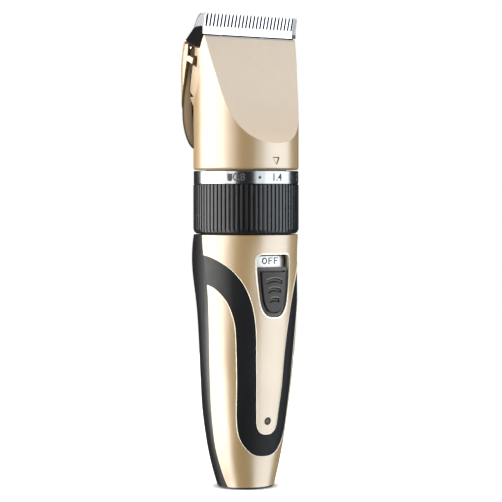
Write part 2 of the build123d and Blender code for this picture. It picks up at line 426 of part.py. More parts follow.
CUT_Y0 = COMB_Y + COMB_T + 0.06
cutter = poly_yz([(CUT_Y0, 170.65), (CUT_Y0, 173.2), (CUT_Y0 + 0.35, 173.9), (CUT_Y0 + 0.6, 173.9), (CUT_Y0 + 1.5, 171.9), (CUT_Y0 + 1.5, 170.65)], -17.4, 17.4)
for i in range(17):
    xc = (i - 8) * 2.1
    cutter = cutter - bx(xc - 0.45, xc + 0.45, -3, 3, 172.0, 176)
HOLD_Y0 = CUT_Y0 + 1.5
holder = bx(-9.0, 9.0, HOLD_Y0, 2.5, 170.65, 172.2) + bx(-4.2, 4.2, HOLD_Y0 + 0.1, 2.5, 161.5, 171.0)
holder = holder + bx(-4.2, 4.2, 0.5, 2.5, 158.2, 162.0) - bx(-1.3, 1.3, -1, 4, 157, 162.3)
carriage = bx(-12.0, 12.0, 3.4, 4.9, 161.8, 171.6)
for sx in (-1, 1):
    carriage = carriage + bx(sx * 8 - 1.3, sx * 8 + 1.3, 3.4, 4.9, 154.0, 163.0)
    carriage = carriage + bx(sx * 8 - 1.3, sx * 8 + 1.3, 4.0, 9.8, 153.25, 154.6)
spring = bx(-11.0, 11.0, 3.1, 3.4, 163.0, 165.0) + bx(-11.0, -8.6, 3.1, 3.4, 163.0, 170.5) + bx(8.6, 11.0, 3.1, 3.4, 163.0, 170.5)

# ---------------------------------------------------------------- export
for n, s in (("front_shell", front), ("rear_shell", rear), ("grip_inlay", inlay), ("foot_plate", foot), ("foot_screw", foot_screw),
             ("charging_socket", jack), ("socket_pin", jack_pin), ("switch_plate", plate), ("switch_bezel", bezel), ("switch_slider", slider), ("switch_nub", nub),
             ("switch_body", sw_body), ("indicator_lens", lens), ("circuit_board", pcb), ("board_parts", chips), ("battery_cell", cell),
             ("cell_strap_low", strap_lo), ("cell_strap_high", strap_hi), ("neck_tube", tube), ("motor_can", can), ("motor_cap", cap),
             ("motor_tabs", tabs), ("motor_screws", mot_screws), ("motor_shaft", shaft), ("motor_magnets", magnets), ("motor_armature", armature), ("commutator", commutator), ("eccentric", ecc), ("dial_ring", dial),
             ("scale_band", band), ("detent_leaf", leaf), ("lift_slide", lift), ("head_frame", frame), ("frame_screws", frame_screws),
             ("rocker_pin", pivot), ("rocker", rocker), ("hinge_pin", hinge_pin), ("head_front", head), ("head_cover", cover), ("cover_cheeks", cheeks),
             ("blade_base", base), ("comb_blade", comb), ("comb_screws", comb_screws), ("cutter_blade", cutter),
             ("cutter_holder", holder), ("taper_carriage", carriage), ("tension_spring", spring)):
    save(n, s)
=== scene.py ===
import bpy, bmesh, math
from mathutils import Vector, Matrix
from mathutils.bvhtree import BVHTree


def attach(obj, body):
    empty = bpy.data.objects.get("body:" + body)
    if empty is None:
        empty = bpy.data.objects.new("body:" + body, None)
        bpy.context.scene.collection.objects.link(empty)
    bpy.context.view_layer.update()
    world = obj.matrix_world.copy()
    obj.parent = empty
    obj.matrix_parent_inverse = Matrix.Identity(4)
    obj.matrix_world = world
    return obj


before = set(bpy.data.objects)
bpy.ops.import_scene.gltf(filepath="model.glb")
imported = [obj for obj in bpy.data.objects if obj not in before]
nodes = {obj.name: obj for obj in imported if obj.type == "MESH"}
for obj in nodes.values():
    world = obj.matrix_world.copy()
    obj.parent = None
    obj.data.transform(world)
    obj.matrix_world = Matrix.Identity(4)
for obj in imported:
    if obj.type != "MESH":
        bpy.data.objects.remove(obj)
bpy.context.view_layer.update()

scene = bpy.context.scene
scene.view_settings.view_transform = "Standard"
scene.view_settings.look = "None"


# ------------------------------------------------------------------ node helpers
class Mat:
    def __init__(self, name):
        self.m = bpy.data.materials.new(name)
        self.m.use_nodes = True
        self.t = self.m.node_tree
        self.b = next(n for n in self.t.nodes if n.type == "BSDF_PRINCIPLED")
        self.co = self.t.nodes.new("ShaderNodeTexCoord")

    def n(self, kind, **kw):
        x = self.t.nodes.new(kind)
        for k, v in kw.items():
            setattr(x, k, v)
        return x

    def link(self, a, b):
        self.t.links.new(a, b)

    def set(self, **kw):
        for k, v in kw.items():
            s = self.b.inputs[k.replace("_", " ")]
            s.default_value = v
        return self

    def mapping(self, scale):
        mp = self.n("ShaderNodeMapping")
        mp.inputs["Scale"].default_value = scale
        self.link(self.co.outputs["Object"], mp.inputs["Vector"])
        return mp.outputs["Vector"]

    def noise(self, scale, detail=3.0, vec=None, rough=0.5):
        t = self.n("ShaderNodeTexNoise")
        t.inputs["Scale"].default_value = scale
        t.inputs["Detail"].default_value = detail
        t.inputs["Roughness"].default_value = rough
        self.link(vec if vec is not None else self.co.outputs["Object"], t.inputs["Vector"])
        return t.outputs["Fac"]

    def ramp(self, fac, stops):
        r = self.n("ShaderNodeValToRGB")
        e = r.color_ramp.elements
        while len(e) < len(stops):
            e.new(0.5)
        for el, (p, c) in zip(e, stops):
            el.position = p
            el.color = (c[0], c[1], c[2], 1.0)
        self.link(fac, r.inputs["Fac"])
        return r.outputs["Color"]

    def rng(self, fac, a, b):
        m = self.n("ShaderNodeMapRange")
        m.inputs["From Min"].default_value = 0.25
        m.inputs["From Max"].default_value = 0.75
        m.inputs["To Min"].default_value = a
        m.inputs["To Max"].default_value = b
        self.link(fac, m.inputs["Value"])
        return m.outputs["Result"]

    def bump(self, fac, strength, dist):
        b = self.n("ShaderNodeBump")
        b.inputs["Strength"].default_value = strength
        b.inputs["Distance"].default_value = dist
        self.link(fac, b.inputs["Height"])
        self.link(b.outputs["Normal"], self.b.inputs["Normal"])


def moulded(name, c0, c1, r0, r1, grain=1800.0, strength=0.12, dist=0.00004, **kw):
    """moulded or painted surface: faint colour drift, uneven gloss, fine grain"""
    m = Mat(name)
    big = m.noise(45.0, 3.0)
    m.link(m.ramp(big, [(0.3, c0), (0.7, c1)]), m.b.inputs["Base Color"])
    mid = m.noise(320.0, 4.0)
    m.link(m.rng(mid, r0, r1), m.b.inputs["Roughness"])
    m.bump(m.noise(grain, 2.0), strength, dist)
    m.set(**kw)
    return m


def brushed(name, c0, c1, r0, r1, stretch, strength=0.15, **kw):
    """ground metal: colour, gloss and bump drawn out along one direction"""
    m = Mat(name)
    v = m.mapping(stretch)
    line = m.noise(1.0, 4.0, v, 0.6)
    m.link(m.ramp(line, [(0.3, c0), (0.7, c1)]), m.b.inputs["Base Color"])
    m.link(m.rng(line, r0, r1), m.b.inputs["Roughness"])
    m.bump(line, strength, 0.00002)
    m.set(Metallic=1.0, **kw)
    return m


# ------------------------------------------------------------------ materials
LENS_Z = 0.0256
GOLD = ((0.348, 0.225, 0.092), (0.366, 0.238, 0.098))
gold = moulded("gold_paint", GOLD[0], GOLD[1], 0.32, 0.36, 5200.0, 0.03, 0.00001, Metallic=0.12, IOR=2.6)
# the scooped face of the head is a satin panel: it is told apart by its upward-leaning normal
head_gold = Mat("gold_head")
geo = head_gold.n("ShaderNodeNewGeometry")
sep = head_gold.n("ShaderNodeSeparateXYZ")
head_gold.link(geo.outputs["True Normal"], sep.inputs["Vector"])
msk = head_gold.n("ShaderNodeMapRange")
msk.inputs["From Min"].default_value = 0.16
msk.inputs["From Max"].default_value = 0.2
head_gold.link(sep.outputs["Z"], msk.inputs["Value"])
PANEL = msk.outputs["Result"]


def by_panel(m, a, b):
    r = m.n("ShaderNodeMapRange")
    r.inputs["To Min"].default_value = a
    r.inputs["To Max"].default_value = b
    m.link(PANEL, r.inputs["Value"])
    return r.outputs["Result"]


ca = head_gold.ramp(head_gold.noise(45.0, 3.0), [(0.3, (0.322, 0.206, 0.086)), (0.7, (0.338, 0.218, 0.092))])
cb = head_gold.ramp(head_gold.noise(60.0, 4.0), [(0.3, (0.303, 0.206, 0.108)), (0.7, (0.314, 0.215, 0.114))])
mx = head_gold.n("ShaderNodeMix", data_type="RGBA")
head_gold.link(PANEL, mx.inputs[0])
head_gold.link(ca, mx.inputs[6])
head_gold.link(cb, mx.inputs[7])
# the top lip of the panel carries a brown edge line, painted shade for the shadowed gap under the comb
hp = head_gold.n("ShaderNodeSeparateXYZ")
head_gold.link(head_gold.co.outputs["Object"], hp.inputs["Vector"])
lip = head_gold.n("ShaderNodeMapRange")
lip.inputs["From Min"].default_value = 0.16655
lip.inputs["From Max"].default_value = 0.16675
head_gold.link(hp.outputs["Z"], lip.inputs["Value"])
ml = head_gold.n("ShaderNodeMix", data_type="RGBA")
head_gold.link(lip.outputs["Result"], ml.inputs[0])
head_gold.link(mx.outputs[2], ml.inputs[6])
head_gold.link(head_gold.ramp(head_gold.noise(400.0, 3.0), [(0.3, (0.135, 0.088, 0.050)), (0.7, (0.160, 0.106, 0.062))]), ml.inputs[7])
head_gold.link(ml.outputs[2], head_gold.b.inputs["Base Color"])
mid = head_gold.noise(320.0, 4.0)
mr = head_gold.n("ShaderNodeMix", data_type="FLOAT")
head_gold.link(PANEL, mr.inputs[0])
head_gold.link(head_gold.rng(mid, 0.32, 0.36), mr.inputs[2])
head_gold.link(head_gold.rng(mid, 0.55, 0.62), mr.inputs[3])
head_gold.link(mr.outputs[0], head_gold.b.inputs["Roughness"])
head_gold.link(by_panel(head_gold, 0.12, 0.05), head_gold.b.inputs["Metallic"])
head_gold.set(IOR=2.6)
head_gold.bump(head_gold.noise(5200.0, 2.0), 0.03, 0.00001)

matt_black = moulded("inlay_black", (0.0045, 0.0045, 0.0048), (0.0065, 0.0065, 0.007), 0.50, 0.60, 2600.0, 0.12, 0.00003, Specular_IOR_Level=0.16)
soft_black = moulded("soft_touch_black", (0.005, 0.005, 0.0055), (0.008, 0.008, 0.0085), 0.34, 0.42, 2600.0, 0.12, 0.00003, Specular_IOR_Level=0.13)
# the inlay's upper ends are painted a little paler towards the sides, a painted sheen standing in for reflections
mb = matt_black.n("ShaderNodeSeparateXYZ")
matt_black.link(matt_black.co.outputs["Object"], mb.inputs["Vector"])
mb_abs = matt_black.n("ShaderNodeMath", operation="ABSOLUTE")
matt_black.link(mb.outputs["X"], mb_abs.inputs[0])
mb_far = matt_black.n("ShaderNodeMapRange")
mb_far.inputs["From Min"].default_value = 0.0145
mb_far.inputs["From Max"].default_value = 0.0195
matt_black.link(mb_abs.outputs[0], mb_far.inputs["Value"])
mb_was = matt_black.b.inputs["Base Color"].links[0].from_socket
mb_mx = matt_black.n("ShaderNodeMix", data_type="RGBA")
matt_black.link(mb_far.outputs["Result"], mb_mx.inputs[0])
matt_black.link(mb_was, mb_mx.inputs[6])
matt_black.link(matt_black.ramp(matt_black.noise(300.0, 3.0), [(0.3, (0.046, 0.046, 0.044)), (0.7, (0.056, 0.056, 0.053))]), mb_mx.inputs[7])
matt_black.link(mb_mx.outputs[2], matt_black.b.inputs["Base Color"])
# painted sheen: the rear shell is painted pale along its front edge, standing in for a reflection along the seam
PART_LINE = ((0.0, -3.3), (6.8, -1.75), (14.5, -0.75), (22.3, -0.6), (31.7, -1.1), (41.0, -2.0), (49.2, -2.65), (59.5, -3.15), (66.8, -3.2),
             (75.2, -2.6), (84.3, -0.7), (94.0, 0.45))
sb = soft_black.n("ShaderNodeSeparateXYZ")
soft_black.link(soft_black.co.outputs["Object"], sb.inputs["Vector"])


def sb_range(value, a, b, lo, hi):
    r = soft_black.n("ShaderNodeMapRange")
    for k, v in (("From Min", a), ("From Max", b), ("To Min", lo), ("To Max", hi)):
        r.inputs[k].default_value = v
    soft_black.link(value, r.inputs["Value"])
    return r.outputs["Result"]


def sb_math(op, a, b):
    r = soft_black.n("ShaderNodeMath", operation=op)
    soft_black.link(a, r.inputs[0])
    soft_black.link(b, r.inputs[1])
    return r.outputs[0]


edge_at = soft_black.ramp(sb_range(sb.outputs["Z"], 0.0, 0.1, 0.0, 1.0), [(z / 100.0, ((y + 5.0) / 10.0,) * 3) for z, y in PART_LINE])
behind = sb_math("SUBTRACT", sb_range(sb.outputs["Y"], -0.005, 0.005, 0.0, 1.0), edge_at)
seam_sheen = sb_range(behind, 0.05, 0.25, 1.0, 0.0)
seam_sheen = sb_math("MULTIPLY", seam_sheen, sb_range(sb.outputs["Z"], 0.010, 0.034, 0.15, 1.0))
seam_sheen = sb_math("MULTIPLY", seam_sheen, sb_range(sb.outputs["Z"], 0.062, 0.082, 1.0, 0.1))
sb_was = soft_black.b.inputs["Base Color"].links[0].from_socket
sb_mx = soft_black.n("ShaderNodeMix", data_type="RGBA")
soft_black.link(seam_sheen, sb_mx.inputs[0])
soft_black.link(sb_was, sb_mx.inputs[6])
soft_black.link(soft_black.ramp(soft_black.noise(300.0, 3.0), [(0.3, (0.080, 0.079, 0.078)), (0.7, (0.094, 0.093, 0.091))]), sb_mx.inputs[7])
soft_black.link(sb_mx.outputs[2], soft_black.b.inputs["Base Color"])
dial_black = moulded("dial_black", (0.006, 0.006, 0.006), (0.010, 0.010, 0.010), 0.26, 0.34, 2200.0, 0.08, 0.00003)
inner_black = moulded("moulded_black", (0.016, 0.016, 0.018), (0.026, 0.026, 0.028), 0.36, 0.48)
frame_brown = moulded("frame_dark", (0.020, 0.012, 0.005), (0.030, 0.019, 0.008), 0.40, 0.50, Specular_IOR_Level=0.08, Specular_Tint=(1.0, 0.86, 0.62, 1.0))
base_black = moulded("blade_base_black", (0.0016, 0.0015, 0.0014), (0.0028, 0.0025, 0.0023), 0.48, 0.58, Specular_IOR_Level=0.03)
# switch slider: painted highlights on the lips and rib crests, painted shade in the grooves and in the recess round
# the pad
slider_dark = Mat("slider_dark")


def sd_mix(fac, a, b):
    m = slider_dark.n("ShaderNodeMix", data_type="RGBA")
    slider_dark.link(fac, m.inputs[0])
    slider_dark.link(a, m.inputs[6])
    slider_dark.link(b, m.inputs[7])
    return m.outputs[2]


def sd_range(val, lo, hi, a=0.0, b=1.0):
    r = slider_dark.n("ShaderNodeMapRange")
    for k, v in (("From Min", lo), ("From Max", hi), ("To Min", a), ("To Max", b)):
        r.inputs[k].default_value = v
    slider_dark.link(val, r.inputs["Value"])
    return r.outputs["Result"]


def sd_math(op, a, b=None, *nums):
    m = slider_dark.n("ShaderNodeMath", operation=op)
    slider_dark.link(a, m.inputs[0])
    if b is not None:
        slider_dark.link(b, m.inputs[1])
    for i, v in enumerate(nums):
        m.inputs[i + 1].default_value = v
    return m.outputs[0]


def sd_far(loc, scale):
    m = slider_dark.n("ShaderNodeMapping")
    m.inputs["Location"].default_value = loc
    m.inputs["Scale"].default_value = scale
    slider_dark.link(slider_dark.co.outputs["Object"], m.inputs["Vector"])
    v = slider_dark.n("ShaderNodeVectorMath", operation="LENGTH")
    slider_dark.link(m.outputs["Vector"], v.inputs[0])
    return v.outputs["Value"]


def warm(v):
    return (v, v * 0.93, v * 0.87)


sd_blot = slider_dark.noise(260.0, 3.0)
sd_xyz = slider_dark.n("ShaderNodeSeparateXYZ")
slider_dark.link(slider_dark.co.outputs["Object"], sd_xyz.inputs["Vector"])
sd_x = sd_math("ABSOLUTE", sd_xyz.outputs["X"])
sd_col = slider_dark.ramp(sd_blot, [(0.3, warm(0.026)), (0.7, warm(0.036))])
# painted highlight on the top and bottom lips of the slider
sd_lip = sd_math("MAXIMUM", sd_range(sd_xyz.outputs["Z"], 0.0810, 0.0814), sd_range(sd_xyz.outputs["Z"], 0.0650, 0.0662, 1.0, 0.0))
sd_col = sd_mix(sd_lip, sd_col, slider_dark.ramp(sd_blot, [(0.3, warm(0.060)), (0.7, warm(0.085))]))
# each rib: painted shade in its groove, painted highlight on the crest above it
# height of the arch, its radius and half width for the three ribs
for zg, rg, wg in ((0.0778, 0.0075, 0.0037), (0.0744, 0.0060, 0.0029), (0.0707, 0.0048, 0.0022)):
    off = sd_math("SUBTRACT", sd_far((0.0, 0.0, rg - zg), (1.0, 0.0, 1.0)), None, rg)
    tone = slider_dark.ramp(sd_range(off, -0.0009, 0.00125), [
        (0.0, warm(0.030)), (0.07, warm(0.003)), (0.26, warm(0.003)), (0.33, warm(0.055)), (0.53, warm(0.060)), (0.60, warm(0.006)),
        (0.70, warm(0.006)), (0.77, warm(0.15)), (0.88, warm(0.11)), (1.0, warm(0.030))])
    inside = sd_math("MULTIPLY", sd_math("COMPARE", off, None, 0.000175, 0.001075), sd_range(sd_x, wg - 0.0004, wg, 1.0, 0.0))
    sd_col = sd_mix(inside, sd_col, tone)
# painted shade where the surface lies deeper, in the recess round the pad
sd_deep = sd_range(sd_far((0.0, 0.0, 0.0), (1.0 / 0.01945, 1.0 / 0.0182, 0.0)), 0.940, 0.955, 1.0, 0.0)
sd_col = sd_mix(sd_deep, sd_col, slider_dark.ramp(sd_blot, [(0.3, warm(0.002)), (0.7, warm(0.004))]))
slider_dark.link(sd_col, slider_dark.b.inputs["Base Color"])
slider_dark.link(slider_dark.rng(slider_dark.noise(320.0, 4.0), 0.30, 0.38), slider_dark.b.inputs["Roughness"])
slider_dark.bump(slider_dark.noise(2400.0, 2.0), 0.08, 0.00003)
slider_dark.set(Specular_IOR_Level=0.22, Specular_Tint=(1.0, 0.93, 0.86, 1.0))
chrome = moulded("chrome_band", (0.315, 0.312, 0.308), (0.34, 0.337, 0.333), 0.195, 0.225, 900.0, 0.01, 0.00001, Metallic=1.0)
silver = brushed("switch_silver", (0.40, 0.39, 0.37), (0.50, 0.49, 0.47), 0.34, 0.46, (300.0, 300.0, 5200.0))
# shaded line on the switch plate under the window's top edge
pz = silver.n("ShaderNodeSeparateXYZ")
silver.link(silver.co.outputs["Object"], pz.inputs["Vector"])
pm = silver.n("ShaderNodeMapRange")
pm.inputs["From Min"].default_value = 0.0863
pm.inputs["From Max"].default_value = 0.0867
silver.link(pz.outputs["Z"], pm.inputs["Value"])
px = silver.n("ShaderNodeMix", data_type="RGBA")
px.inputs[7].default_value = (0.018, 0.016, 0.014, 1.0)
silver.link(pm.outputs["Result"], px.inputs[0])
silver.link(silver.b.inputs["Base Color"].links[0].from_socket, px.inputs[6])
silver.link(px.outputs[2], silver.b.inputs["Base Color"])
# comb: ground faces bright; milled slot walls painted near black as shade; end faces matt grey; right end teeth matt
# with a painted shade grey, darker below; a painted dark reflection line along the end teeth's back edge
RIM_C, RIM_R = (-0.004316, 0.167972), 0.00812     # arc of the end teeth's back edge, seen from the side
steel = Mat("ground_steel")
sg = steel.n("ShaderNodeNewGeometry")
sn = steel.n("ShaderNodeSeparateXYZ")
steel.link(sg.outputs["True Normal"], sn.inputs["Vector"])
sa = steel.n("ShaderNodeMath", operation="ABSOLUTE")
steel.link(sn.outputs["X"], sa.inputs[0])
flank = steel.n("ShaderNodeMapRange")
flank.inputs["From Min"].default_value = 0.6
flank.inputs["From Max"].default_value = 0.8
steel.link(sa.outputs[0], flank.inputs["Value"])
sp = steel.n("ShaderNodeSeparateXYZ")
steel.link(steel.co.outputs["Object"], sp.inputs["Vector"])
sx = steel.n("ShaderNodeMath", operation="ABSOLUTE")
steel.link(sp.outputs["X"], sx.inputs[0])
endz = steel.n("ShaderNodeMapRange")
endz.inputs["From Min"].default_value = 0.0203
endz.inputs["From Max"].default_value = 0.0206
steel.link(sx.outputs[0], endz.inputs["Value"])
# slot walls (faces turned along x) painted near black as shade; the outer end faces matt grey
wall = steel.n("ShaderNodeMix", data_type="RGBA")
wall.inputs[6].default_value = (0.010, 0.010, 0.011, 1.0)
wall.inputs[7].default_value = (0.27, 0.27, 0.285, 1.0)
steel.link(endz.outputs["Result"], wall.inputs[0])
grind = steel.noise(1.0, 4.0, steel.mapping((180.0, 900.0, 5200.0)), 0.6)
face = steel.n("ShaderNodeMix", data_type="RGBA")
steel.link(flank.outputs["Result"], face.inputs[0])
steel.link(steel.ramp(grind, [(0.3, (0.56, 0.56, 0.575)), (0.7, (0.70, 0.70, 0.715))]), face.inputs[6])
steel.link(wall.outputs[2], face.inputs[7])
# right end teeth: painted shade, a grey tone darker below the tooth roots
endt = steel.n("ShaderNodeMapRange")
endt.inputs["From Min"].default_value = 0.01915
endt.inputs["From Max"].default_value = 0.0193
steel.link(sp.outputs["X"], endt.inputs["Value"])
satin = steel.n("ShaderNodeMix", data_type="RGBA")
steel.link(endt.outputs["Result"], satin.inputs[0])
steel.link(face.outputs[2], satin.inputs[6])
low = steel.n("ShaderNodeMapRange")
low.inputs["From Min"].default_value = 0.1688
low.inputs["From Max"].default_value = 0.1694
low.inputs["To Max"].default_value = 0.75
steel.link(sp.outputs["Z"], low.inputs["Value"])
tone = steel.n("ShaderNodeMath", operation="MULTIPLY_ADD")
tone.inputs[1].default_value = 0.25
steel.link(grind, tone.inputs[0])
steel.link(low.outputs["Result"], tone.inputs[2])
steel.link(steel.ramp(tone.outputs[0], [(0.2, (0.070, 0.072, 0.072)), (0.8, (0.34, 0.33, 0.345)), (1.0, (0.42, 0.41, 0.43))]), satin.inputs[7])
# painted dark reflection: a dark line along the back edge of the end teeth
rim = steel.n("ShaderNodeMapping")
rim.inputs["Location"].default_value = (0.0, -RIM_C[0], -RIM_C[1])
rim.inputs["Scale"].default_value = (0.0, 1.0, 1.0)
steel.link(steel.co.outputs["Object"], rim.inputs["Vector"])
rl = steel.n("ShaderNodeVectorMath", operation="LENGTH")
steel.link(rim.outputs["Vector"], rl.inputs[0])
rr = steel.n("ShaderNodeMapRange")
rr.inputs["From Min"].default_value = RIM_R - 0.00050
rr.inputs["From Max"].default_value = RIM_R - 0.00030
steel.link(rl.outputs["Value"], rr.inputs["Value"])
rf = steel.n("ShaderNodeMath", operation="MULTIPLY")
steel.link(rr.outputs["Result"], rf.inputs[0])
steel.link(endz.outputs["Result"], rf.inputs[1])
rimmed = steel.n("ShaderNodeMix", data_type="RGBA")
rimmed.inputs[7].default_value = (0.055, 0.052, 0.055, 1.0)
steel.link(rf.outputs[0], rimmed.inputs[0])
steel.link(satin.outputs[2], rimmed.inputs[6])
steel.link(rimmed.outputs[2], steel.b.inputs["Base Color"])
dead = steel.n("ShaderNodeMath", operation="MAXIMUM")
steel.link(flank.outputs["Result"], dead.inputs[0])
steel.link(endt.outputs["Result"], dead.inputs[1])
metal = steel.n("ShaderNodeMapRange")
metal.inputs["To Min"].default_value = 1.0
metal.inputs["To Max"].default_value = 0.0
steel.link(dead.outputs[0], metal.inputs["Value"])
steel.link(metal.outputs["Result"], steel.b.inputs["Metallic"])
dull = steel.n("ShaderNodeMix", data_type="FLOAT")
dull.inputs[3].default_value = 0.6
steel.link(dead.outputs[0], dull.inputs[0])
steel.link(steel.rng(grind, 0.24, 0.38), dull.inputs[2])
steel.link(dull.outputs[0], steel.b.inputs["Roughness"])
steel.bump(grind, 0.12, 0.00002)
steel.set(Specular_IOR_Level=0.15)
turned = brushed("turned_steel", (0.48, 0.48, 0.50), (0.66, 0.66, 0.68), 0.26, 0.40, (900.0, 900.0, 2600.0))
core = brushed("motor_core", (0.10, 0.09, 0.085), (0.22, 0.19, 0.17), 0.40, 0.55, (300.0, 300.0, 9000.0), 0.5)
brass = brushed("turned_brass", (0.58, 0.40, 0.16), (0.74, 0.54, 0.24), 0.22, 0.34, (900.0, 900.0, 3000.0))
ceramic = moulded("white_ceramic", (0.80, 0.80, 0.78), (0.88, 0.88, 0.87), 0.18, 0.26, 1400.0, 0.06)
sleeve = moulded("cell_sleeve", (0.03, 0.10, 0.32), (0.05, 0.14, 0.40), 0.24, 0.36, 900.0, 0.2)
board = moulded("board_lacquer", (0.01, 0.09, 0.035), (0.02, 0.13, 0.05), 0.28, 0.40, 700.0, 0.25)
lens = Mat("lens_smoked")
# smoked lens: dark rim, paler in the middle
lm = lens.n("ShaderNodeMapping")
lm.inputs["Location"].default_value = (0.0, 0.0, -LENS_Z)
lm.inputs["Scale"].default_value = (1.0, 0.0, 1.0)
lens.link(lens.co.outputs["Object"], lm.inputs["Vector"])
ll = lens.n("ShaderNodeVectorMath", operation="LENGTH")
lens.link(lm.outputs["Vector"], ll.inputs[0])
lr = lens.n("ShaderNodeMapRange")
lr.inputs["From Max"].default_value = 0.0016
lens.link(ll.outputs["Value"], lr.inputs["Value"])
lens.link(lens.ramp(lr.outputs["Result"], [(0.25, (0.085, 0.070, 0.062)), (0.62, (0.010, 0.008, 0.007))]), lens.b.inputs["Base Color"])
lens.link(lens.rng(lens.noise(900.0, 2.0), 0.30, 0.40), lens.b.inputs["Roughness"])
lens.set(Specular_IOR_Level=0.2)
scale_ink = moulded("scale_ink", (0.064, 0.064, 0.062), (0.080, 0.080, 0.077), 0.50, 0.62, Specular_IOR_Level=0.06)
pointer_ink = moulded("pointer_ink", (0.008, 0.008, 0.007), (0.014, 0.014, 0.012), 0.45, 0.60, Specular_IOR_Level=0.08)
ink = moulded("printed_ink", (0.012, 0.012, 0.012), (0.022, 0.022, 0.022), 0.40, 0.55)
# pale gold for the switch bezel and the edge bead: a painted highlight for the light caught along these bevelled gold
# edges
edge_highlight_gold = moulded("edge_highlight_gold", (0.66, 0.57, 0.43), (0.72, 0.63, 0.49), 0.20, 0.28, 5200.0, 0.05, Metallic=0.3, Coat_Weight=1.0, Coat_IOR=1.9, Coat_Roughness=0.2)
# cheeks behind the groove: a dark bronze tone, painted shade standing in for the gold paint in shade, darker still
# along the front edge where the groove shades them
cheek_shade_gold = Mat("cheek_gold_in_shade")
by = cheek_shade_gold.n("ShaderNodeSeparateXYZ")
cheek_shade_gold.link(cheek_shade_gold.co.outputs["Object"], by.inputs["Vector"])
wob = cheek_shade_gold.n("ShaderNodeMath", operation="MULTIPLY_ADD")
wob.inputs[1].default_value = 0.0012
cheek_shade_gold.link(cheek_shade_gold.noise(160.0, 3.0), wob.inputs[0])
cheek_shade_gold.link(by.outputs["Y"], wob.inputs[2])
bf = cheek_shade_gold.n("ShaderNodeMapRange")
bf.inputs["From Min"].default_value = 0.0100
bf.inputs["From Max"].default_value = 0.0160
cheek_shade_gold.link(wob.outputs[0], bf.inputs["Value"])
cheek_shade_gold.link(cheek_shade_gold.ramp(bf.outputs["Result"], [(0.12, (0.020, 0.011, 0.005)), (0.45, (0.060, 0.038, 0.018)), (0.85, (0.084, 0.055, 0.027))]), cheek_shade_gold.b.inputs["Base Color"])
cheek_shade_gold.link(cheek_shade_gold.rng(cheek_shade_gold.noise(320.0, 4.0), 0.38, 0.46), cheek_shade_gold.b.inputs["Roughness"])
cheek_shade_gold.bump(cheek_shade_gold.noise(3200.0, 2.0), 0.05, 0.00001)
cheek_shade_gold.set(Metallic=0.9)

GIVE = {
    gold: "front_shell head_cover", head_gold: "head_front", soft_black: "rear_shell", matt_black: "grip_inlay", dial_black: "dial_ring",
    inner_black: "foot_plate neck_tube lift_slide rocker taper_carriage cutter_holder motor_cap switch_body switch_nub charging_socket board_parts",
    frame_brown: "head_frame", base_black: "blade_base", slider_dark: "switch_slider", chrome: "scale_band", silver: "switch_plate",
    steel: "comb_blade", turned: "hinge_pin rocker_pin motor_shaft foot_screw motor_screws frame_screws comb_screws tension_spring detent_leaf "
    "cell_strap_low cell_strap_high motor_can", core: "motor_armature motor_magnets", brass: "eccentric socket_pin motor_tabs commutator",
    edge_highlight_gold: "switch_bezel", cheek_shade_gold: "cover_cheeks", ceramic: "cutter_blade", sleeve: "battery_cell", board: "circuit_board", lens: "indicator_lens",
}
for m, names in GIVE.items():
    for nm in names.split():
        o = nodes[nm]
        o.data.materials.clear()
        o.data.materials.append(m.m)
        o.data.polygons.foreach_set("use_smooth", [True] * len(o.data.polygons))
        o.data.set_sharp_from_angle(angle=math.radians(32.0))


# ------------------------------------------------------------------ printing
def solid_text(name, body, size, thick, bold=0.0):
    cu = bpy.data.curves.new(name + "_curve", "FONT")
    cu.body = body
    cu.size = size
    cu.align_x = "CENTER"
    cu.align_y = "CENTER"
    cu.extrude = thick / 2
    cu.offset = bold
    cu.resolution_u = 6
    tmp = bpy.data.objects.new(name + "_tmp", cu)
    scene.collection.objects.link(tmp)
    bpy.context.view_layer.update()
    dg = bpy.context.evaluated_depsgraph_get()
    me = bpy.data.meshes.new_from_object(tmp.evaluated_get(dg))
    bpy.data.objects.remove(tmp)
    return me


def fine(me, limit):
    """splits long edges so that a thin print can follow a curve"""
    bm = bmesh.new()
    bm.from_mesh(me)
    bmesh.ops.remove_doubles(bm, verts=bm.verts, dist=1e-7)
    bmesh.ops.triangulate(bm, faces=bm.faces)
    for _ in range(4):
        long = [e for e in bm.edges if e.calc_length() > limit]
        if not long:
            break
        bmesh.ops.subdivide_edges(bm, edges=long, cuts=1)
        bmesh.ops.triangulate(bm, faces=bm.faces)
    bmesh.ops.recalc_face_normals(bm, faces=bm.faces)
    bm.to_mesh(me)
    bm.free()


def flat_shape(name, loops, thick):
    """extruded flat marks from closed outlines in the x, z plane"""
    bm = bmesh.new()
    for pts in loops:
        lo = [bm.verts.new((x, y, -thick / 2)) for x, y in pts]
        hi = [bm.verts.new((x, y, thick / 2)) for x, y in pts]
        bm.faces.new(hi)
        bm.faces.new(list(reversed(lo)))
        k = len(pts)
        for i in range(k):
            bm.faces.new((lo[i], lo[(i + 1) % k], hi[(i + 1) % k], hi[i]))
    me = bpy.data.meshes.new(name)
    bm.to_mesh(me)
    bm.free()
    return me


